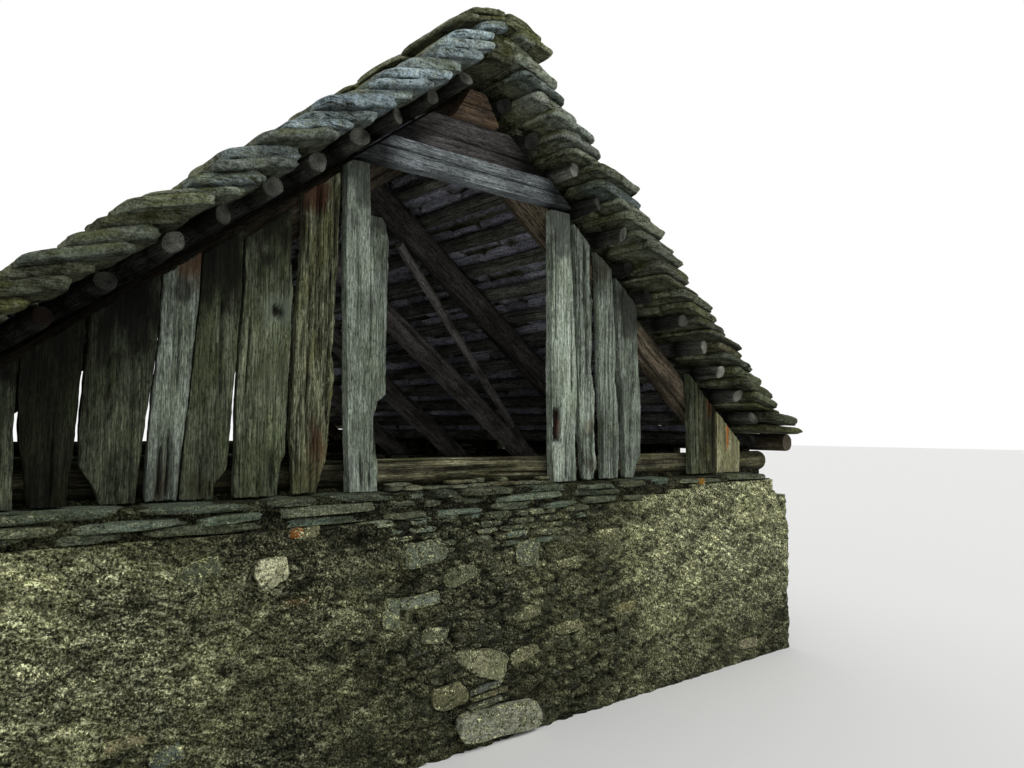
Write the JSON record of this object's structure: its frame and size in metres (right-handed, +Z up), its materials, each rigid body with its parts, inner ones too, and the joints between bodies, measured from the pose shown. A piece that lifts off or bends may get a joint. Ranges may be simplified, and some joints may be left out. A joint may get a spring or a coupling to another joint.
{
  "type": "stone-roofed hay barn",
  "caption": "Small gabled hay barn with rubble walls, an upright board front with a loft opening, log rafters and a roof of lapped stone slabs.",
  "frame": {"origin": "on the ground, at the middle of the barn's bounding box", "axes": "+Z up, -Y out of the front gable with the loft opening, +Y along the ridge to the back, +X to the right as seen from the front"},
  "size_m": [6.1728, 6.8296, 3.7663],
  "materials": {
    "rubble_wall": "rough",
    "roof_slab": "rough",
    "weathered_board": "rough",
    "dark_board": "rough",
    "log": "rough",
    "pole": "rough"
  },
  "bodies": {
    "root": {"wall_front": "rubble_wall", "wall_back": "rubble_wall", "wall_left": "rubble_wall", "wall_right": "rubble_wall", "sill_log_front": "log", "sill_log_back": "log", "eave_log_left": "log", "eave_log_right": "log", "rafter_pair_1": "log", "rafter_pair_2": "log", "rafter_pair_3": "log", "rafter_pair_4": "log", "rafter_pair_5": "log", "rafter_pair_6": "log", "wind_brace": "log", "collar_board": "dark_board", "apex_block": "dark_board", "roof_poles_left": "pole", "roof_poles_right": "pole", "roof_slabs_left": "roof_slab", "roof_slabs_right": "roof_slab", "ridge_slabs": "roof_slab", "lintel": "weathered_board", "post_left": "weathered_board", "post_left_backing": "weathered_board", "post_right": "weathered_board", "front_board_left_1": "weathered_board", "front_board_left_2": "weathered_board", "front_board_left_3": "weathered_board", "front_board_left_4": "weathered_board", "front_board_left_5": "weathered_board", "front_board_left_6": "weathered_board", "front_board_left_7": "weathered_board", "front_board_left_8": "weathered_board", "front_board_right_1": "weathered_board", "front_board_right_2": "weathered_board", "front_board_right_3": "weathered_board", "front_board_right_4": "weathered_board", "front_board_right_5": "weathered_board", "front_board_right_6": "weathered_board", "back_boards_left": "weathered_board", "back_boards_right": "weathered_board"}
  },
  "joints": []
}
